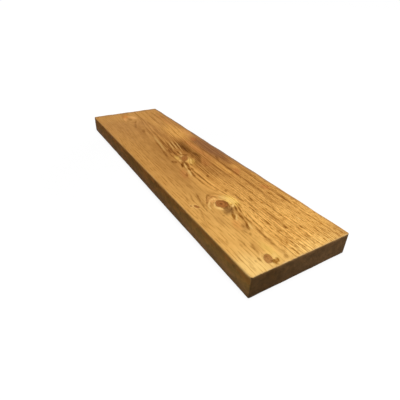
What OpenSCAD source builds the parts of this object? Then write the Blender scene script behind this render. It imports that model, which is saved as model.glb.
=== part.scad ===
// Timber plank: one length of sawn softwood board with its arrises eased, lying flat on a wide face.
// The origin is at the middle of the underside. X runs along the grain, Y across the width, Z up.

/* [Board] */
// Length along the grain, between the two end cuts
board_length = 850; // [300:10:2400]
// Width of the wide faces
board_width = 225; // [100:1:300]
// Thickness between the two wide faces
board_thickness = 47; // [25:1:75]

/* [Eased edges] */
// Radius worked along the four long arrises
long_arris_r = 2.5; // [1:0.5:12]
// Radius worked along the arrises of the two end cuts
end_arris_r = 3; // [1:0.5:12]
// Radius of the four upright corners, seen from above
upright_corner_r = 5; // [1:0.5:20]

/* [Hidden] */
// Sides of a full circle in the profiles' arcs
$fn = 96;
// How far a profile runs past the board before the three are intersected
overrun = 10;
// Colour of the oiled pine
oiled_pine = "#c08a45";

// Rectangle about the origin, along and across in size, with its four corners rounded
module eased_rectangle(along, across, radius) {
    square([along - 2 * radius, across], center = true);
    square([along, across - 2 * radius], center = true);
    for (side_x = [-1, 1], side_y = [-1, 1])
        translate([side_x * (along / 2 - radius), side_y * (across / 2 - radius)])
            circle(r = radius);
}

// The moulded section, Y by Z, run along the grain
module section_run() {
    rotate([90, 0, 90])
        linear_extrude(height = board_length + 2 * overrun, center = true)
            eased_rectangle(board_width, board_thickness, long_arris_r);
}

// The side outline, X by Z, run across the width: it eases the arrises of the end cuts
module end_cut_run() {
    rotate([90, 0, 0])
        linear_extrude(height = board_width + 2 * overrun, center = true)
            eased_rectangle(board_length, board_thickness, end_arris_r);
}

// The plan outline, X by Y, run through the thickness: it rounds the upright corners
module plan_run() {
    linear_extrude(height = board_thickness + 2 * overrun, center = true)
        eased_rectangle(board_length, board_width, upright_corner_r);
}

// The whole board is one sawn piece: what the section, the end cuts and the plan have in common
module plank() {
    color(oiled_pine)
        translate([0, 0, board_thickness / 2])
            intersection() {
                section_run();
                end_cut_run();
                plan_run();
            }
}

plank();
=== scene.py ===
"""Looks of the timber plank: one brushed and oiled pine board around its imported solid."""
import math
from collections import namedtuple

import bmesh
import bpy
import numpy as np
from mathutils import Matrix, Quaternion, Vector


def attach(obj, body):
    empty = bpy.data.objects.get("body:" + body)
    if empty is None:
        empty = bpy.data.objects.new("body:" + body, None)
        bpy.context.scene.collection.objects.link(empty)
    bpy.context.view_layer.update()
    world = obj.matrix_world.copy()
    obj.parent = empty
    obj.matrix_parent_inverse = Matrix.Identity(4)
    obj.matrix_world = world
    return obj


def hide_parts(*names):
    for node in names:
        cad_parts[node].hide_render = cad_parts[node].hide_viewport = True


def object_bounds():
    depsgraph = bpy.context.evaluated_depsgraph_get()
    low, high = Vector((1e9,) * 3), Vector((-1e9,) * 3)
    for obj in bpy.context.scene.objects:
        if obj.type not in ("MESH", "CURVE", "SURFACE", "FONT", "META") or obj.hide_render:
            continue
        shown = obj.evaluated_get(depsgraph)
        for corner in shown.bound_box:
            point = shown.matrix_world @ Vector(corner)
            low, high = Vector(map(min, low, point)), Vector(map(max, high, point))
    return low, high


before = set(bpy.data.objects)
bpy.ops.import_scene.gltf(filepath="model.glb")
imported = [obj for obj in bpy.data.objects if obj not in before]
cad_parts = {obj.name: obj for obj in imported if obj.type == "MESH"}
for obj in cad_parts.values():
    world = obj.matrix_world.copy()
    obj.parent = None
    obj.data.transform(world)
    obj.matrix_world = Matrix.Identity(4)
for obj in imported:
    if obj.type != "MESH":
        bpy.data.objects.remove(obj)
CAD_LOW, CAD_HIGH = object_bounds()

# Places and sizes are in millimetres, in the board's own frame, unless a comment says otherwise
MM = 0.001
LENGTH, WIDTH, THICKNESS = (side / MM for side in CAD_HIGH - CAD_LOW)

# Eased edges of the board
ARRIS_R = 2.5
ARRIS_STEPS = 3
UPRIGHT_CORNER_R = 5.0
# Cells of the board's mesh along the grain, across it and through the thickness
CELLS = (200, 176, 14)
# An edge that is cut into cells is long and straight: its least length, and its least share along one axis
LONG_EDGE = 20.0
STRAIGHT = 0.999

# The pith runs along the board, a little under it: its height, its place across the width and its slope
PITH_Z = -25.0
PITH_Y = -49.0
PITH_SLOPE = -0.012
# Towards the far end it swings across: how far, about which place, and over which run
PITH_SWING = 34.0
PITH_SWING_X = -190.0
PITH_SWING_RUN = 75.0

# Yearly rings round the pith, and the years that left a strong dark line
RING_PITCH = 4.0
STRONG_RINGS = (76.0, 80.0, 90.4, 104.4, 117.3, 138.7, 158.9)
STRONG_RING_WIDTH = 0.9
# Spacing of the fine threads on the plainer left side
THREAD_PITCH = 6.5

# A knot meets the top at x, y with its half sizes. Its tone is how clearly it shows there: 0 leaves it
# buried. Its slant leans it across the grain. Over its eye it draws the rings in and parts the grain.
Knot = namedtuple("Knot", "x y half_x half_y slant tone eye_x eye_y draw part")
KNOTS = (
    Knot(x=233, y=-36, half_x=15, half_y=13, slant=0.0, tone=0.95, eye_x=34, eye_y=22, draw=12, part=0.75),
    Knot(x=404, y=-62, half_x=11, half_y=7.5, slant=0.3, tone=0.75, eye_x=20, eye_y=12, draw=5, part=0.55),
    Knot(x=8, y=1, half_x=15, half_y=9.5, slant=0.35, tone=0.85, eye_x=25, eye_y=16, draw=7, part=0.70),
    Knot(x=-338, y=-14, half_x=12, half_y=9, slant=0.0, tone=0.0, eye_x=32, eye_y=20, draw=8, part=0.65),
    Knot(x=218, y=-86, half_x=7, half_y=4, slant=-0.2, tone=0.95, eye_x=11, eye_y=7, draw=2.5, part=0.40),
    Knot(x=211, y=-95, half_x=3, half_y=2.2, slant=0.0, tone=0.75, eye_x=7, eye_y=5, draw=1.5, part=0.30),
)
# How much farther out a knot parts the grain than it draws the rings in
PART_REACH = 1.2

# A long wave over the board: its height, its radians per millimetre along and across, and its first angle
Wave = namedtuple("Wave", "height along across start")
GRAIN_WAVER = (
    Wave(1.1, 0.021, 0.03, 0.0),
    Wave(0.6, 0.052, -0.06, 1.3),
)
FACE_SWELLS = (
    Wave(0.12, 0.013, 0.021, 0.0),
    Wave(0.08, 0.02, 0.09, 0.0),
)
ARRIS_KNOCKS = (
    Wave(1.0, 0.047, 0.09, 0.0),
    Wave(1.0, 0.083, 0.19, 2.0),
)

# How deep strong lines, dark strokes and the rims of knots are sunk; a rim's width is a share of its knot
LINE_SUNK = 0.3
STROKE_SUNK = 0.4
RIM_SUNK = 0.3
RIM_WIDTH = 0.14
# Wear of the arrises: its depth, where it fades out, and how deep knocks go at the bottom and at the top
ARRIS_WEAR = 0.6
ARRIS_WEAR_FADE = (0.5, 5.0)
KNOCKS_LOW = 0.05
KNOCKS_HIGH = 0.25

# A stroke in the top runs from x0, y0 to x1, y1, and depth is how strongly it shows, from 0 to 1
Stroke = namedtuple("Stroke", "x0 y0 x1 y1 width depth")
DARK_STROKES = (
    # Bark and resin trailing from the large knot
    Stroke(222, -26, 250, -27, 6, 0.6),
    Stroke(229, -37, 236, -38, 6, 0.5),
    Stroke(246, -28, 252, -44, 6, 0.5),
    Stroke(249, -17, 272, -25, 4.5, 0.75),
    Stroke(268, -24, 308, -33, 6, 0.85),
    Stroke(267, -33, 281, -43, 5, 0.85),
    Stroke(275, -35, 291, -46, 6, 0.85),
    Stroke(252, -28, 266, -36, 10, 0.3),
    Stroke(246, -4, 262, -12, 4, 0.4),
    Stroke(252, -11, 276, -19, 4, 0.45),
    Stroke(254, -42, 271, -51, 9, 0.25),
    Stroke(268, -56, 272, -57, 5, 0.4),
    Stroke(304, -31, 331, -42, 5, 0.85),
    Stroke(324, -52, 338, -49, 5, 0.55),
    Stroke(336, -45, 344, -48, 5, 0.55),
    Stroke(309, -43, 319, -46, 6, 0.4),
    # Rings that bend round the large knot
    Stroke(188, -40, 197, -45, 8, 0.6),
    Stroke(190, -45, 224, -66, 4, 0.75),
    Stroke(172, -61, 208, -70, 4, 0.65),
    Stroke(206, -69, 246, -77, 3.5, 0.55),
    Stroke(198, -36, 206, -50, 6, 0.4),
    Stroke(205, -50, 222, -62, 3, 0.35),
    Stroke(198, -35, 216, -33, 5, 0.4),
    Stroke(213, -44, 231, -60, 8, 0.4),
    Stroke(190, 1, 200, -1, 5, 0.6),
    Stroke(178, -16, 192, -15, 4, 0.5),
    # Round the knot at the near end
    Stroke(358, -62, 391, -68, 5, 0.65),
    Stroke(343, -72, 363, -74, 3.5, 0.5),
    Stroke(352, -80, 364, -81, 4, 0.35),
    Stroke(286, -23, 330, -25, 5, 0.6),
    Stroke(322, -25, 364, -29, 6, 0.6),
    Stroke(356, -29, 384, -31, 9, 0.55),
    Stroke(388, -30, 416, -31, 8, 0.25),
    Stroke(394, -62, 402, -64, 9, 0.4),
    Stroke(410, -30, 418, -34, 7, 0.5),
    Stroke(407, -49, 417, -50, 5, 0.8),
    Stroke(414, -50, 412, -61, 7, 0.9),
    Stroke(413, -61, 421, -56, 4.5, 0.6),
    Stroke(393, -74, 403, -75, 4.5, 0.6),
    Stroke(396, -82, 403, -83, 4, 0.45),
    # Fine lines and dashes along the near left
    Stroke(170, -66, 236, -76, 3, 0.4),
    Stroke(170, -75, 206, -83, 3.5, 0.4),
    Stroke(225, -83, 264, -95, 3.5, 0.4),
    Stroke(168, -86, 200, -92, 3.5, 0.35),
    Stroke(240, -92, 280, -99, 3, 0.35),
    Stroke(246, -104, 258, -104, 4, 0.4),
    Stroke(268, -104, 290, -104, 3.5, 0.4),
    Stroke(262, -76, 300, -78, 3, 0.25),
    Stroke(332, -95, 344, -97, 4, 0.35),
    Stroke(298, -103, 351, -103, 3, 0.35),
    Stroke(362, -103, 398, -102, 3, 0.4),
    Stroke(386, -92, 408, -93, 3, 0.35),
    Stroke(400, -97, 421, -97, 3, 0.35),
    # Grain that fans out from the middle knot
    Stroke(27, -7, 61, -17, 9, 0.8),
    Stroke(58, -17, 77, -20, 6, 0.95),
    Stroke(75, -20, 112, -26, 5, 0.7),
    Stroke(110, -25, 152, -27, 4, 0.45),
    Stroke(25, -14, 54, -30, 7, 0.95),
    Stroke(60, -10, 78, -11, 4, 0.7),
    Stroke(76, -11, 162, -16, 3.5, 0.5),
    Stroke(79, -33, 99, -41, 5, 0.55),
    Stroke(7, -34, 24, -31, 11, 0.7),
    Stroke(-129, -5, -61, -12, 4, 0.55),
    Stroke(-67, -11, -33, -16, 5, 0.75),
    Stroke(-120, 6, -45, -5, 4, 0.7),
    Stroke(-117, 17, -47, 6, 4, 0.7),
    Stroke(-117, 28, -38, 15, 4, 0.7),
    Stroke(-100, 33, -31, 21, 4, 0.7),
    Stroke(-81, 35, -17, 24, 4, 0.7),
    Stroke(-44, 3, -16, 3, 5, 0.8),
    Stroke(-17, 4, -7, 19, 5, 0.8),
    Stroke(-44, -4, -22, -6, 5, 0.5),
    Stroke(-150, -15, -60, -28, 6, 0.5),
    Stroke(-65, -28, -18, -34, 7, 0.6),
    Stroke(-9, 8, -3, 16, 6, 0.7),
    Stroke(-16, 40, 8, 37, 10, 0.5),
    Stroke(-4, 28, 18, 19, 8, 0.5),
    Stroke(12, 40, 52, 22, 8, 0.35),
    Stroke(30, 18, 56, 9, 6, 0.5),
    Stroke(40, 38, 78, 24, 6, 0.3),
    Stroke(28, 82, 62, 69, 7, 0.5),
    Stroke(-40, 72, 30, 52, 5, 0.3),
    Stroke(43, -2, 55, -3, 6, 0.5),
    Stroke(46, 8, 128, 4, 3, 0.6),
    Stroke(40, 15, 124, 10, 3, 0.6),
    Stroke(54, 21, 140, 17, 3, 0.55),
    Stroke(60, 29, 150, 25, 3, 0.6),
    Stroke(66, 36, 150, 32, 3, 0.5),
    Stroke(114, 2, 123, 0, 6, 0.65),
    # Long lines of the right half
    Stroke(57, 46, 165, 42, 5, 0.4),
    Stroke(58, 70, 170, 66, 7, 0.5),
    Stroke(165, 69, 262, 64, 8, 0.4),
    Stroke(90, 97, 235, 92, 6, 0.5),
    Stroke(165, 44, 240, 44, 5, 0.4),
    Stroke(235, 92, 300, 89, 8, 0.6),
    Stroke(214, 9, 248, 7, 5, 0.6),
    Stroke(265, 6, 312, 4, 4.5, 0.6),
    Stroke(313, 3, 338, 2, 5, 0.9),
    Stroke(338, 2, 425, 0, 4, 0.55),
    Stroke(240, 14, 297, 10, 4.5, 0.55),
    Stroke(238, 28, 256, 26, 6, 0.65),
    Stroke(288, 25, 345, 23, 4, 0.5),
    Stroke(345, 23, 360, 22, 5, 0.8),
    Stroke(313, 18, 326, 17, 6, 0.5),
    Stroke(240, 45, 322, 41, 5, 0.45),
    Stroke(364, 51, 376, 50, 7, 0.5),
    Stroke(385, 37, 416, 35, 5, 0.45),
    Stroke(238, 62, 292, 60, 6, 0.45),
    Stroke(377, 77, 413, 76, 5, 0.4),
    Stroke(338, 8, 366, 7, 4.5, 0.45),
    Stroke(408, 8, 420, 8, 4, 0.5),
    # Soft shades of the far part
    Stroke(-240, -11, -210, -20, 9, 0.45),
    Stroke(-322, -4, -300, -14, 6, 0.5),
    Stroke(-300, -14, -255, -28, 7, 0.45),
    Stroke(-232, -6, -175, -10, 4, 0.4),
    Stroke(-310, 29, -255, 24, 5, 0.35),
    Stroke(-255, 24, -140, 12, 6, 0.35),
    Stroke(-356, -13, -332, -18, 12, 0.4),
    Stroke(-347, -37, -325, -43, 9, 0.2),
    Stroke(-380, 93, -280, 90, 7, 0.3),
    Stroke(-390, 78, -240, 72, 6, 0.25),
    Stroke(-420, 25, -300, 20, 7, 0.35),
    Stroke(-360, 58, -230, 52, 5, 0.35),
    Stroke(-300, 66, -180, 58, 5, 0.35),
    Stroke(-260, 44, -150, 34, 5, 0.4),
    Stroke(-230, 84, -150, 78, 5, 0.35),
    Stroke(-200, 50, -120, 43, 5, 0.35),
)
PALE_STROKES = (
    # Round the large knot
    Stroke(205, -26, 223, -15, 11, 0.5),
    Stroke(220, -15, 243, -13, 12, 0.6),
    Stroke(244, -16, 253, -24, 5, 0.9),
    Stroke(208, -34, 213, -52, 5, 0.5),
    Stroke(213, -52, 226, -63, 4, 0.6),
    Stroke(224, -62, 242, -68, 4, 0.5),
    Stroke(223, -48, 240, -56, 3, 0.6),
    Stroke(239, -54, 252, -45, 6, 0.95),
    Stroke(277, -32, 296, -45, 5, 0.6),
    Stroke(309, -28, 333, -37, 4, 0.5),
    # Round the middle knot
    Stroke(34, -13, 61, -23, 3.5, 0.8),
    Stroke(60, -21, 102, -31, 5, 0.6),
    Stroke(-12, -4, 0, 2, 7, 0.55),
    Stroke(12, -14, 20, -19, 6, 0.5),
    Stroke(18, 12, 34, 6, 5, 0.4),
    Stroke(30, 3, 46, 1, 4, 0.35),
    Stroke(-38, 9, -14, 5, 3.5, 0.5),
    Stroke(-110, 11, -50, 0, 3.5, 0.5),
    Stroke(-118, 22, -43, 10, 3.5, 0.5),
    Stroke(-108, 31, -35, 18, 3, 0.45),
    Stroke(-174, -6, -50, -24, 6, 0.4),
    # Round the knot at the near end
    Stroke(393, -70, 404, -72, 4, 0.7),
    Stroke(413, -66, 419, -60, 5, 0.7),
    Stroke(398, -45, 408, -51, 8, 0.5),
    # Round the far knot
    Stroke(-374, -4, -342, 6, 8, 0.35),
    # Pale specks
    Stroke(416, 66, 420, 62, 5, 0.7),
    Stroke(338, 64, 352, 63, 4, 0.5),
)
# How deep strokes and tints reach into the wood
STROKE_REACH_DOWN = 9.0
# How far noise pushes the outlines of strokes about, along the three axes, and the size of its clouds
TEAR = (8.0, 3.0, 0.0)
TEAR_SIZE = 9.0

# Broad tints of the top, turned by some degrees; the colour is as it is seen, 0 to 255, and depth its share
Tint = namedtuple("Tint", "x y half_x half_y turn colour depth")
YELLOW = (255, 212, 112)
GOLD = (248, 186, 100)
CREAM = (255, 210, 128)
PEACH = (255, 186, 112)
SMOKE = (134, 92, 48)
BROWN = (168, 112, 54)
RUST = (214, 146, 82)
DUSK = (130, 84, 34)
PLUM = (146, 100, 64)
RED = (196, 112, 62)
ORANGE = (226, 142, 70)
TINTS = (
    # The left edge
    Tint(0, -104, 520, 46, 0, GOLD, 0.18),
    # The near end; its cream tints are a painted sheen and highlight, brightest at the left corner
    Tint(425, 20, 45, 120, 0, CREAM, 0.6),
    Tint(420, -98, 70, 46, 0, CREAM, 1.0),
    Tint(412, 96, 36, 26, 0, PLUM, 0.25),
    Tint(390, -47, 36, 13, 0, YELLOW, 0.5),
    Tint(414, -82, 26, 22, 0, CREAM, 0.6),
    Tint(424, -108, 30, 22, 0, CREAM, 0.7),
    # Round the large knot
    Tint(232, -13, 34, 16, 0, YELLOW, 1.0),
    Tint(212, -46, 26, 18, -45, PEACH, 0.4),
    Tint(259, -36, 24, 18, -30, SMOKE, 0.75),
    Tint(318, -42, 22, 11, -25, BROWN, 0.5),
    Tint(304, -50, 26, 14, -20, ORANGE, 0.3),
    Tint(282, -70, 22, 9, 0, BROWN, 0.25),
    # Round the middle knot
    Tint(-50, 0, 90, 50, 0, BROWN, 0.5),
    Tint(32, 7, 32, 15, -15, YELLOW, 0.6),
    Tint(-4, -15, 22, 9, -15, YELLOW, 0.4),
    Tint(72, -4, 55, 24, 0, GOLD, 0.4),
    Tint(50, 36, 40, 18, -15, RED, 0.3),
    Tint(85, -42, 36, 13, -15, RED, 0.3),
    Tint(150, -12, 70, 50, 0, GOLD, 0.35),
    # The stained right edge
    Tint(-20, 72, 270, 116, 0, BROWN, 0.55),
    Tint(240, 78, 100, 60, 0, BROWN, 0.25),
    Tint(-46, 35, 84, 16, -5, DUSK, 1.0),
    Tint(4, 40, 26, 10, 0, DUSK, 0.7),
    Tint(30, 28, 50, 12, -22, DUSK, 0.5),
    Tint(-30, 59, 120, 14, 0, RUST, 0.6),
    Tint(-20, 92, 150, 32, 0, PLUM, 1.0),
    Tint(-97, 85, 18, 13, 0, RED, 0.6),
    Tint(100, 57, 80, 12, 0, GOLD, 0.5),
    Tint(108, 86, 22, 13, 0, GOLD, 0.4),
    Tint(130, 76, 28, 12, -30, RED, 0.35),
    Tint(222, 86, 20, 14, 0, RED, 0.35),
    # The far end
    Tint(-172, 64, 100, 44, 0, GOLD, 0.65),
    Tint(-410, 0, 120, 220, 0, GOLD, 0.35),
    Tint(-300, 44, 130, 22, 0, GOLD, 0.35),
    Tint(-270, 76, 140, 20, 0, GOLD, 0.4),
    Tint(-262, 82, 40, 14, 0, RED, 0.2),
    Tint(-150, 92, 60, 18, 0, PEACH, 0.3),
    Tint(-310, 84, 60, 10, 0, RED, 0.25),
    Tint(-378, -20, 28, 16, -10, ORANGE, 0.65),
    Tint(-360, 0, 30, 17, 10, PEACH, 0.75),
    Tint(-349, -30, 28, 9, -15, PEACH, 0.55),
)

# The satin finish: roughness between the fibres and what the fibres add, shine, and the bump of the fibres
ROUGHNESS = 0.58
FIBRE_ROUGHNESS = 0.2
SHINE = 0.02
BUMP_STRENGTH = 0.6
BUMP_HEIGHT = 0.3

# Camera of the view: where it stands, which way it looks, how it is rolled, and its lens and sensor
CAMERA_AT = (680.83, -361.48, 399.62)
CAMERA_FORWARD = (-0.722857, 0.442271, -0.530917)
CAMERA_ROLL_DEG = 1.546
CAMERA_LENS = 29.287
CAMERA_SENSOR = 36.0

# The floor glows where it is seen, by a share of white near the board, and fully from these distances on
FLOOR_GLOW = 0.92
FLOOR_FADE = (300.0, 700.0)
# The grey that takes the board's shadow, the floor's half size, and how far it lies under the board
FLOOR_GREY = 0.1
FLOOR_HALF = 20000.0
FLOOR_GAP = 0.3
# Even light from the sky, as a share of white
AMBIENT = 0.24
# The one lamp, a soft rectangle that shines straight down
LAMP_AT = (300.0, 50.0, 1550.0)
LAMP_SIZE = (500.0, 350.0)
LAMP_WATTS = 17.0


class Wire:
    """A number on a node tree's wire. Sums and products of wires add Math nodes to the tree."""

    def __init__(self, socket):
        self.socket = socket
        self.tree = socket.id_data

    def math(self, operation, *others):
        node = self.tree.nodes.new("ShaderNodeMath")
        node.operation = operation
        for slot, value in zip(node.inputs, (self, *others)):
            plug(slot, value)
        return Wire(node.outputs[0])

    def __add__(self, other):
        return self.math("ADD", other)

    def __mul__(self, other):
        return self.math("MULTIPLY", other)

    def __sub__(self, other):
        return self.math("SUBTRACT", other)

    def __truediv__(self, other):
        return self.math("DIVIDE", other)

    def __rsub__(self, other):
        return self.math("MULTIPLY_ADD", -1.0, other)

    def __rtruediv__(self, other):
        return self.math("POWER", -1.0) * other

    def __neg__(self):
        return self * -1.0

    __radd__ = __add__
    __rmul__ = __mul__


def plug(slot, value):
    """Feeds an input socket from a wire, or sets it to a plain value."""
    if isinstance(value, Wire):
        value.tree.links.new(value.socket, slot)
    else:
        slot.default_value = value


def either(operation, plain):
    """A function that works on wires and on arrays alike."""
    def work(first, *others):
        return first.math(operation, *others) if isinstance(first, Wire) else plain(first, *others)
    return work


exp = either("EXPONENT", np.exp)
sin = either("SINE", np.sin)
sqrt = either("SQRT", np.sqrt)
size_of = either("ABSOLUTE", np.abs)
smaller = either("MINIMUM", np.minimum)
larger = either("MAXIMUM", np.maximum)


def rise(value, low, high):
    """A smooth step: 0 below low, 1 above high."""
    if isinstance(value, Wire):
        node = value.tree.nodes.new("ShaderNodeMapRange")
        node.interpolation_type = "SMOOTHSTEP"
        for name, number in (("Value", value), ("From Min", low), ("From Max", high)):
            plug(node.inputs[name], number)
        return Wire(node.outputs["Result"])
    share = np.clip((value - low) / (high - low), 0.0, 1.0)
    return share * share * (3.0 - 2.0 * share)


def total(values):
    """The sum of several numbers, as wires or arrays."""
    first, *rest = values
    for value in rest:
        first = first + value
    return first


# A place in the board: x, y, z, where the pith is across the width there, and the height above the pith,
# which is 1 at the top face. As wires it also has the vector of x, y and z.
Place = namedtuple("Place", "x y z pith up vector")


def place_of(x, y, z, vector=None):
    """A place in the board from its three coordinates, as wires or arrays."""
    swing = PITH_SWING / (1.0 + exp((x - PITH_SWING_X) / PITH_SWING_RUN))
    up = (z - PITH_Z) / (THICKNESS - PITH_Z)
    return Place(x, y, z, PITH_Y + PITH_SLOPE * x + swing, up, vector)


def waves(place, kinds):
    """The sum of some long waves at a place."""
    return total([wave.height * sin(place.x * wave.along + place.y * wave.across + wave.start)
                  for wave in kinds])


def knot_offsets(place):
    """Place along and across the grain from the middle of each knot, which is a cone out of the pith."""
    return [(knot, place.x - knot.x, place.y - place.pith - (knot.y - place.pith) * place.up)
            for knot in KNOTS]


def gauss(along, across):
    """1 at the middle of a patch, fading to 0."""
    return exp(-(along * along + across * across))


# Where a place lies in the tree: how far out its ring is, how far across from the pith it lies, how steeply
# the rings stand there (0 lying, 1 upright), and how far it lies within a knot's eye
Grain = namedtuple("Grain", "ring across steep eye")


def grain_of(place, offsets):
    """The grain at a place: rings round the pith, drawn in and parted at the knots."""
    across = place.y - place.pith + waves(place, GRAIN_WAVER)
    drawn = []
    eyes = []
    for knot, along, aside in offsets:
        reach_x = knot.eye_x * PART_REACH
        reach_y = knot.eye_y * PART_REACH
        across = across - aside * knot.part * gauss(along / reach_x, aside / reach_y)
        eye = gauss(along / knot.eye_x, aside / knot.eye_y)
        if knot.tone:
            eyes.append(eye)
        drawn.append(knot.draw * eye)
    up = place.z - PITH_Z
    out = sqrt(across * across + up * up)
    return Grain(out - total(drawn), across, size_of(across) / out, total(eyes))


def ring_about(reach, middle, width):
    """1 where a distance is at its middle value, fading to 0 over its width."""
    off = (reach - middle) / width
    return exp(-(off * off))


def strong_lines(ring):
    """1 on the middle of each strong dark line of the rings."""
    return total([ring_about(ring, strong, STRONG_RING_WIDTH) for strong in STRONG_RINGS])


def knot_reaches(place, offsets):
    """Each knot that shows, with the distance from its middle: 1 on its rim."""
    found = []
    for knot, along, aside in offsets:
        if knot.tone:
            aside = (aside + knot.slant * along) / (place.up * knot.half_y)
            along = along / (place.up * knot.half_x)
            found.append((knot, sqrt(along * along + aside * aside)))
    return found


def blob(place, at, half, turn=0.0):
    """An egg-shaped patch: 1 at its middle, 0 from its half sizes on."""
    if isinstance(place.x, Wire):
        nodes = place.x.tree.nodes
        mapping = nodes.new("ShaderNodeMapping")
        mapping.vector_type = "TEXTURE"
        plug(mapping.inputs["Vector"], place.vector)
        mapping.inputs["Location"].default_value = at
        mapping.inputs["Rotation"].default_value = (0.0, 0.0, turn)
        mapping.inputs["Scale"].default_value = half
        ball = nodes.new("ShaderNodeTexGradient")
        ball.gradient_type = "SPHERICAL"
        plug(ball.inputs["Vector"], Wire(mapping.outputs[0]))
        return Wire(ball.outputs["Fac"])
    x = place.x - at[0]
    y = place.y - at[1]
    cosine = math.cos(turn)
    sine = math.sin(turn)
    along = (x * cosine + y * sine) / half[0]
    aside = (y * cosine - x * sine) / half[1]
    down = (place.z - at[2]) / half[2]
    return np.maximum(1.0 - np.sqrt(along * along + aside * aside + down * down), 0.0)


def stroke_depth(place, strokes):
    """How strongly a set of strokes shows, from 0 to 1."""
    found = []
    for stroke in strokes:
        run = Vector((stroke.x1 - stroke.x0, stroke.y1 - stroke.y0))
        middle = ((stroke.x0 + stroke.x1) / 2, (stroke.y0 + stroke.y1) / 2, THICKNESS)
        # The patch fades towards its rim, so it runs a little past the stroke's ends and sides
        half = (0.6 * run.length + 0.3 * stroke.width, 0.8 * stroke.width, STROKE_REACH_DOWN)
        patch = blob(place, middle, half, math.atan2(run.y, run.x))
        found.append(stroke.depth * rise(patch, 0.0, 0.7))
    return smaller(total(found), 1.0)


def arris_distance(place):
    """Distance from a place on the surface to the nearest arris."""
    a = LENGTH / 2 - size_of(place.x)
    b = WIDTH / 2 - size_of(place.y)
    c = THICKNESS / 2 - size_of(place.z - THICKNESS / 2)
    return larger(smaller(a, b), smaller(larger(a, b), c))


def relief(place):
    """How far the brush and the years have sunk the surface."""
    offsets = knot_offsets(place)
    grain = grain_of(place, offsets)
    rims = total([ring_about(reach, 1.0, RIM_WIDTH) for _, reach in knot_reaches(place, offsets)])
    sunk = LINE_SUNK * strong_lines(grain.ring) + RIM_SUNK * rims
    sunk = sunk + STROKE_SUNK * stroke_depth(place, DARK_STROKES)
    sunk = sunk + waves(place, FACE_SWELLS) + sum(wave.height for wave in FACE_SWELLS)
    knocks = KNOCKS_LOW + (KNOCKS_HIGH - KNOCKS_LOW) * rise(place.z, 0.0, THICKNESS)
    arris_mark = ARRIS_WEAR + knocks * waves(place, ARRIS_KNOCKS)
    return sunk + arris_mark * (1.0 - rise(arris_distance(place), *ARRIS_WEAR_FADE))


def runs_along(edge, axis):
    """True for the long straight edges along one axis."""
    run = edge.verts[1].co - edge.verts[0].co
    return abs(run[axis]) > LONG_EDGE * MM and abs(run[axis]) > STRAIGHT * run.length


def round_upright_corners(bm):
    """Brings the four upright corners to their own, larger round, seen from above."""
    inner = Vector((LENGTH / 2 - UPRIGHT_CORNER_R, WIDTH / 2 - UPRIGHT_CORNER_R)) * MM
    for vert in bm.verts:
        out = Vector((abs(vert.co.x) - inner.x, abs(vert.co.y) - inner.y))
        if min(out) > 0 and out.length > UPRIGHT_CORNER_R * MM:
            out *= UPRIGHT_CORNER_R * MM / out.length
            vert.co.x = math.copysign(inner.x + out.x, vert.co.x)
            vert.co.y = math.copysign(inner.y + out.y, vert.co.y)


def board_mesh():
    """The board: a box with its edges eased, cut into fine cells and sunk by its relief."""
    bm = bmesh.new()
    bmesh.ops.create_cube(bm, size=1.0)
    bmesh.ops.scale(bm, vec=CAD_HIGH - CAD_LOW, verts=bm.verts)
    bmesh.ops.translate(bm, vec=(CAD_LOW + CAD_HIGH) / 2, verts=bm.verts)
    bmesh.ops.bevel(bm, geom=bm.edges[:], offset=ARRIS_R * MM, segments=ARRIS_STEPS,
                    profile=0.5, affect="EDGES", material=-1)
    for axis, cells in enumerate(CELLS):
        edges = [edge for edge in bm.edges if runs_along(edge, axis)]
        bmesh.ops.subdivide_edges(bm, edges=edges, cuts=cells - 1, use_grid_fill=True)
    round_upright_corners(bm)
    bm.normal_update()
    places = place_of(*np.array([vert.co for vert in bm.verts]).T / MM)
    for vert, sunk in zip(bm.verts, relief(places)):
        vert.co -= vert.normal * (sunk * MM)
    for face in bm.faces:
        face.smooth = True
    mesh = bpy.data.meshes.new("plank_board")
    bm.to_mesh(mesh)
    bm.free()
    return mesh


def paint(red, green, blue):
    """A colour as it is seen, 0 to 255, as the light it returns."""
    def light(level):
        share = level / 255.0
        return share / 12.92 if share <= 0.04045 else ((share + 0.055) / 1.055) ** 2.4
    return (light(red), light(green), light(blue), 1.0)


HONEY = paint(242, 187, 103)
AMBER = paint(199, 144, 76)
FAR_END_PALE = paint(210, 152, 90)
STAIN = paint(186, 159, 106)
BARK = paint(152, 118, 20)
KNOT_RED = paint(175, 110, 54)
KNOT_DARK = paint(112, 66, 28)
HALO = paint(250, 206, 126)
END_BROWN = paint(183, 141, 98)
END_DARK = paint(132, 97, 59)
# Pale of the worn top arrises, with a painted highlight in it
WORN_AND_HIGHLIGHT = paint(255, 210, 142)
WEATHERED = paint(144, 116, 94)
RUSSET = paint(200, 126, 56)
DUSTY = paint(178, 138, 114)


def mix(share, first, second, blend="MIX"):
    """One colour laid over another, by a share from 0 to 1."""
    node = share.tree.nodes.new("ShaderNodeMix")
    node.data_type = "RGBA"
    node.blend_type = blend
    plug(node.inputs["Factor"], share)
    # The node's sockets for colours come after those for numbers and vectors
    plug(node.inputs[6], first)
    plug(node.inputs[7], second)
    return Wire(node.outputs[2])


def stained(share, colour, stain):
    """A colour seen through a stain, by a share from 0 to 1."""
    return mix(share, colour, stain, blend="MULTIPLY")


def lit(colour, level):
    """A colour made brighter or darker."""
    node = level.tree.nodes.new("ShaderNodeVectorMath")
    node.operation = "SCALE"
    plug(node.inputs[0], colour)
    plug(node.inputs["Scale"], level)
    return Wire(node.outputs[0])


def joined(x, y, z):
    """A vector from three wires."""
    node = x.tree.nodes.new("ShaderNodeCombineXYZ")
    for slot, value in zip(node.inputs, (x, y, z)):
        plug(slot, value)
    return Wire(node.outputs[0])


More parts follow.
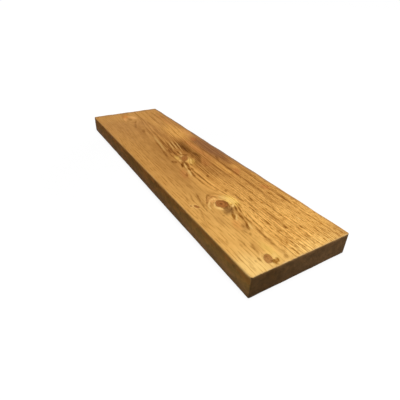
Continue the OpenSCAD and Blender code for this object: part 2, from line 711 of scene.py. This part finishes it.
def noise(vector, lengths, detail=2.0, roughness=0.5):
    """Cloudy noise from 0 to 1, whose clouds have these lengths along the vector's three axes."""
    nodes = vector.tree.nodes
    scaled = nodes.new("ShaderNodeVectorMath")
    scaled.operation = "DIVIDE"
    plug(scaled.inputs[0], vector)
    scaled.inputs[1].default_value = lengths
    node = nodes.new("ShaderNodeTexNoise")
    plug(node.inputs["Vector"], Wire(scaled.outputs[0]))
    plug(node.inputs["Scale"], 1.0)
    plug(node.inputs["Detail"], detail)
    plug(node.inputs["Roughness"], roughness)
    return Wire(node.outputs["Fac"])


def chance(number):
    """A random share from 0 to 1 for each whole number."""
    node = number.tree.nodes.new("ShaderNodeTexWhiteNoise")
    node.noise_dimensions = "1D"
    plug(node.inputs["W"], number)
    return Wire(node.outputs["Value"])


def wire_place(tree):
    """Place in the board as wires."""
    coordinates = tree.nodes.new("ShaderNodeTexCoord")
    scaled = tree.nodes.new("ShaderNodeVectorMath")
    scaled.operation = "SCALE"
    scaled.inputs["Scale"].default_value = 1.0 / MM
    tree.links.new(coordinates.outputs["Object"], scaled.inputs[0])
    apart = tree.nodes.new("ShaderNodeSeparateXYZ")
    tree.links.new(scaled.outputs[0], apart.inputs[0])
    return place_of(*(Wire(output) for output in apart.outputs), Wire(scaled.outputs[0]))


def torn(place):
    """The same place pushed about, so that what is drawn there gets a ragged outline."""
    nodes = place.vector.tree.nodes
    push = nodes.new("ShaderNodeTexNoise")
    push.inputs["Scale"].default_value = 1.0 / TEAR_SIZE
    plug(push.inputs["Vector"], place.vector)
    centred = nodes.new("ShaderNodeVectorMath")
    centred.operation = "SUBTRACT"
    plug(centred.inputs[0], Wire(push.outputs["Color"]))
    centred.inputs[1].default_value = (0.5, 0.5, 0.5)
    moved = nodes.new("ShaderNodeVectorMath")
    moved.operation = "MULTIPLY_ADD"
    plug(moved.inputs[0], Wire(centred.outputs[0]))
    moved.inputs[1].default_value = TEAR
    plug(moved.inputs[2], place.vector)
    return place._replace(vector=Wire(moved.outputs[0]))


# Noises that follow the grain or lie over it, each from 0 to 1
Noises = namedtuple("Noises", "fibre streak dash gap tick speck band thread broad blotch lump")


def noises_of(place, grain):
    """The noises of the wood at a place."""
    along_grain = joined(place.x, grain.ring, grain.across)
    lines = place.y / THREAD_PITCH + 1.5 * noise(place.vector, (90.0, 25.0, 25.0))
    drawn = rise(noise(place.vector, (24.0, 3.0, 9.0)), 0.42, 0.60)
    return Noises(
        fibre=noise(along_grain, (45.0, 0.6, 0.6)),
        streak=rise(noise(along_grain, (40.0, 1.4, 6.0), detail=3.0, roughness=0.6), 0.52, 0.70),
        dash=rise(noise(along_grain, (13.0, 2.0, 4.0)), 0.38, 0.62),
        gap=rise(noise(along_grain, (55.0, 3.0, 12.0)), 0.35, 0.60),
        tick=rise(noise(along_grain, (11.0, 1.2, 2.5), detail=1.0), 0.53, 0.66),
        speck=rise(noise(along_grain, (10.0, 1.2, 3.0), detail=1.0), 0.55, 0.70),
        band=rise(noise(along_grain, (150.0, 7.0, 22.0)), 0.48, 0.68),
        thread=rise(sin(lines * math.tau), 0.1, 0.9) * drawn,
        broad=rise(noise(place.vector, (150.0, 40.0, 40.0), detail=3.0), 0.35, 0.75),
        blotch=rise(noise(place.vector, (30.0, 12.0, 12.0), detail=3.0), 0.35, 0.75),
        lump=noise(place.vector, (7.0, 7.0, 7.0), detail=3.0),
    )


# How far a place lies towards the near end, the far end, the left edge, the top face and the underside,
# each from 0 to 1
Zones = namedtuple("Zones", "near far left top under")


def zones_of(place):
    """The zones of the board that a place lies in."""
    return Zones(
        near=rise(place.x, 60.0, 260.0),
        far=1.0 - rise(place.x, -320.0, -60.0),
        left=1.0 - rise(place.y, -75.0, -10.0),
        top=rise(place.z, THICKNESS - 6.0, THICKNESS - 1.5),
        under=1.0 - rise(place.z, 0.5, ARRIS_R),
    )


# All that the colours ask about a place; ragged is the place pushed about by noise
Wood = namedtuple("Wood", "place ragged offsets grain noises zones")


def wood_of(tree):
    """The wood at a place, as wires."""
    place = wire_place(tree)
    offsets = knot_offsets(place)
    grain = grain_of(place, offsets)
    return Wood(place, torn(place), offsets, grain, noises_of(place, grain), zones_of(place))


def ground_colour(wood):
    """Colour of the wood between its lines."""
    noises = wood.noises
    colour = mix(rise(wood.place.x, 30.0, 390.0), AMBER, HONEY)
    # Paler and greyer towards the far end
    colour = mix(0.6 * wood.zones.far, colour, FAR_END_PALE)
    colour = mix(0.3 * noises.broad, colour, AMBER)
    colour = stained(0.25 * noises.blotch, colour, STAIN)
    return mix(0.35 * wood.zones.top * rise(wood.grain.eye, 0.25, 0.9), colour, HALO)


def with_tints(colour, wood):
    """Lays the broad tints of the top over a colour, among them a painted sheen at the near end."""
    for tint in TINTS:
        middle = (tint.x, tint.y, THICKNESS)
        half = (tint.half_x, tint.half_y, STROKE_REACH_DOWN)
        patch = blob(wood.place, middle, half, math.radians(tint.turn))
        share = tint.depth * rise(patch, 0.0, 0.8) * (0.9 + 0.2 * wood.noises.blotch)
        colour = mix(share * wood.zones.top, colour, paint(*tint.colour))
    return colour


def with_lines(colour, wood):
    """Lays the years' lines and the marks of the brush over a colour."""
    grain, noises, zones = wood.grain, wood.noises, wood.zones
    # Years of uneven width, each with its dark late wood
    years = grain.ring / RING_PITCH + 0.35 * sin(grain.ring / 7.3) + 0.2 * sin(grain.ring / 3.1 + 1.7)
    phase = years.math("FRACT")
    late = rise(phase, 0.4, 0.85) * (1.0 - rise(phase, 0.9, 1.0))
    year_tone = 0.3 + 0.7 * chance(years.math("FLOOR"))
    # Lines show most on the right of the top, less on its left, at the far end and on the other faces
    brushed = (1.0 - (0.7 + 0.2 * zones.near) * zones.left) * (1.0 - 0.45 * zones.far)
    brushed = brushed * (0.15 + 0.85 * larger(zones.top, 0.7 * zones.under))
    # Most of them show where the rings stand steep or bend round a knot
    standing = brushed * (0.4 + 0.6 * larger(rise(grain.steep, 0.2, 0.65), rise(grain.eye, 0.2, 0.6)))
    broken = 1.0 - (0.3 + 0.35 * zones.near) * (1.0 - noises.dash)
    colour = lit(colour, 1.0 + standing * (0.18 * (1.0 - late) + 0.2 * zones.near * noises.speck))
    for share in (
        noises.band * (0.05 + 0.33 * brushed) * (1.0 - 0.2 * zones.near) * zones.top,
        late * year_tone * standing * 0.8 * broken,
        noises.streak * standing * (0.6 - 0.15 * zones.near),
        strong_lines(grain.ring) * brushed * noises.gap * (0.75 - 0.1 * zones.near) * broken,
        noises.tick * standing * (0.1 + 0.85 * zones.near),
        noises.thread * zones.left * zones.top * (0.52 - 0.25 * zones.far),
    ):
        colour = stained(share, colour, STAIN)
    return colour


def with_pale_strokes(colour, wood):
    """Lays the pale strokes over a colour."""
    return mix(stroke_depth(wood.ragged, PALE_STROKES) * 0.85, colour, HALO)


def with_dark_strokes(colour, wood):
    """Lays the dark strokes over a colour, broken up along the grain."""
    shows = 0.4 + 0.4 * wood.noises.dash + 0.5 * wood.noises.fibre
    return stained(stroke_depth(wood.ragged, DARK_STROKES) * shows, colour, BARK)


def with_knots(colour, wood):
    """Lays the knots over a colour: red-brown, with a dark rim, an inner ring and a dark heart."""
    for knot, reach in knot_reaches(wood.place, wood.offsets):
        ragged = reach + 0.5 * (wood.noises.lump - 0.5)
        dark = 0.5 * ring_about(ragged, 0.55, 0.12) + 0.7 * (1.0 - rise(ragged, 0.05, 0.3))
        shows = knot.tone * wood.zones.top
        colour = mix((1.0 - rise(ragged, 0.85, 1.05)) * shows, colour, mix(dark, KNOT_RED, KNOT_DARK))
        colour = mix(ring_about(ragged, 0.95, 0.1) * 0.5 * shows, colour, KNOT_DARK)
    return colour


def with_sides(colour, wood):
    """Lays the plainer looks of the sides and the underside over a colour: russet above, dusty below."""
    z = wood.place.z
    russet = 0.4 * rise(z, 26.0, 40.0) + 0.3 * wood.noises.blotch
    colour = mix((1.0 - larger(wood.zones.top, wood.zones.under)) * russet, colour, RUSSET)
    return mix((1.0 - rise(z, 4.0, 30.0)) * 0.5, colour, DUSTY)


def with_worn_and_highlit_arrises(colour, wood):
    """Lays the arrises' wear and a painted highlight over a colour: pale along the top arrises, most at the
    ends, grey at the right and far edges.
    """
    place, noises = wood.place, wood.noises
    # Pale wear and a painted highlight where the rounded top arrises catch the lamp, strongest towards both
    # ends
    arris_mark = (1.0 - rise(arris_distance(place), 1.0, 3.5)) * rise(place.z, 28.0, 45.0)
    arris_mark = arris_mark * (0.3 + 0.7 * rise(size_of(place.x), LENGTH / 2 - 30.0, LENGTH / 2 - 3.0))
    colour = mix(arris_mark * (0.25 + 0.75 * noises.blotch), colour, WORN_AND_HIGHLIGHT)
    right = rise(place.y, 102.0, 107.0) * (1.0 - 0.7 * rise(place.x, 100.0, 300.0))
    grey = larger(right, 0.6 - 0.6 * rise(place.x, -420.0, -400.0))
    return mix(grey * (0.5 + 0.4 * noises.blotch), colour, WEATHERED)


def facing_end(tree):
    """1 on the two end cuts, 0 on the other faces and on the upper part of the arrises."""
    coordinates = tree.nodes.new("ShaderNodeTexCoord")
    apart = tree.nodes.new("ShaderNodeSeparateXYZ")
    tree.links.new(coordinates.outputs["Normal"], apart.inputs[0])
    endwards = rise(size_of(Wire(apart.outputs[0])), 0.55, 0.8)
    return endwards * (1.0 - rise(Wire(apart.outputs[2]), 0.3, 0.65))


def with_end_grain(colour, wood):
    """Lays the darker end grain over a colour."""
    noises = wood.noises
    shade = 0.5 * noises.broad + 0.4 * noises.blotch + 0.45 * (1.0 - rise(wood.place.y, -110.0, 0.0))
    return mix(facing_end(shade.tree) * 0.9, colour, mix(shade, END_BROWN, END_DARK))


def mottled(colour, wood):
    """Makes the sides and ends, and faintly the underside, uneven in brightness."""
    uneven = 0.6 * wood.noises.blotch + 0.6 * wood.noises.lump - 0.46
    return lit(colour, 1.0 + (1.0 - larger(wood.zones.top, 0.8 * wood.zones.under)) * uneven)


def pine():
    """Brushed pine under honey-brown oil: one solid pattern that runs through the whole board."""
    material = bpy.data.materials.new("oiled_pine")
    material.use_nodes = True
    tree = material.node_tree
    shader = tree.nodes["Principled BSDF"]
    wood = wood_of(tree)
    colour = ground_colour(wood)
    for layer in (with_tints, with_lines, with_pale_strokes, with_knots, with_dark_strokes,
                  with_sides, with_worn_and_highlit_arrises, with_end_grain, mottled):
        colour = layer(colour, wood)
    plug(shader.inputs["Base Color"], colour)
    noises = wood.noises
    plug(shader.inputs["Roughness"], ROUGHNESS + FIBRE_ROUGHNESS * noises.fibre)
    shader.inputs["Specular IOR Level"].default_value = SHINE
    bump = tree.nodes.new("ShaderNodeBump")
    bump.inputs["Strength"].default_value = BUMP_STRENGTH
    bump.inputs["Distance"].default_value = BUMP_HEIGHT * MM
    plug(bump.inputs["Height"], 0.4 * noises.fibre - 0.5 * noises.tick - 0.4 * noises.streak)
    tree.links.new(bump.outputs["Normal"], shader.inputs["Normal"])
    return material


def seen_directly(tree):
    """1 for rays from the camera, and for those a shiny or clear surface sends on; 0 for the rest."""
    path = tree.nodes.new("ShaderNodeLightPath")
    rays = [Wire(path.outputs[name]) for name in ("Is Camera Ray", "Is Glossy Ray", "Is Transmission Ray")]
    return smaller(total(rays), 1.0)


def pale_floor():
    """A white floor that keeps the board's shadow."""
    material = bpy.data.materials.new("pale_floor")
    material.use_nodes = True
    tree = material.node_tree
    shader = tree.nodes["Principled BSDF"]
    shader.inputs["Base Color"].default_value = (FLOOR_GREY, FLOOR_GREY, FLOOR_GREY, 1.0)
    shader.inputs["Roughness"].default_value = 1.0
    shader.inputs["Specular IOR Level"].default_value = 0.0
    shader.inputs["Emission Color"].default_value = (1.0, 1.0, 1.0, 1.0)
    place = wire_place(tree)
    far = rise(sqrt(place.x * place.x + place.y * place.y), *FLOOR_FADE)
    glow = FLOOR_GLOW + (1.0 - FLOOR_GLOW) * far
    plug(shader.inputs["Emission Strength"], seen_directly(tree) * glow)
    return material


def show(data):
    """Puts a mesh, a lamp or a camera in the scene as an object of the same name."""
    shown = bpy.data.objects.new(data.name, data)
    bpy.context.scene.collection.objects.link(shown)
    return shown


def floor():
    """The floor that the board lies on."""
    bm = bmesh.new()
    bmesh.ops.create_grid(bm, x_segments=1, y_segments=1, size=FLOOR_HALF * MM)
    bmesh.ops.translate(bm, vec=(0.0, 0.0, -FLOOR_GAP * MM), verts=bm.verts)
    mesh = bpy.data.meshes.new("floor")
    bm.to_mesh(mesh)
    bm.free()
    mesh.materials.append(pale_floor())
    return show(mesh)


def sky():
    """White where it is seen, a dim even light elsewhere."""
    world = bpy.data.worlds.new("studio")
    bpy.context.scene.world = world
    world.use_nodes = True
    tree = world.node_tree
    background = tree.nodes["Background"]
    background.inputs["Color"].default_value = (1.0, 1.0, 1.0, 1.0)
    plug(background.inputs["Strength"], AMBIENT + seen_directly(tree) * (1.0 - AMBIENT))


def key_lamp():
    """The soft lamp over the near half of the board."""
    lamp = bpy.data.lights.new("key", "AREA")
    lamp.shape = "RECTANGLE"
    lamp.size = LAMP_SIZE[0] * MM
    lamp.size_y = LAMP_SIZE[1] * MM
    lamp.energy = LAMP_WATTS
    show(lamp).location = Vector(LAMP_AT) * MM


def camera():
    """The camera of the view."""
    view = bpy.data.cameras.new("camera")
    view.lens = CAMERA_LENS
    view.sensor_width = CAMERA_SENSOR
    shown = show(view)
    shown.location = Vector(CAMERA_AT) * MM
    level = Vector(CAMERA_FORWARD).to_track_quat("-Z", "Y")
    roll = Quaternion((0.0, 0.0, 1.0), math.radians(CAMERA_ROLL_DEG))
    shown.rotation_mode = "QUATERNION"
    shown.rotation_quaternion = level @ roll
    bpy.context.scene.camera = shown


bpy.context.scene.view_settings.view_transform = "Standard"
camera()
sky()
key_lamp()
floor()

board = show(board_mesh())
board.data.materials.append(pine())
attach(board, "root")
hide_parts("plank")
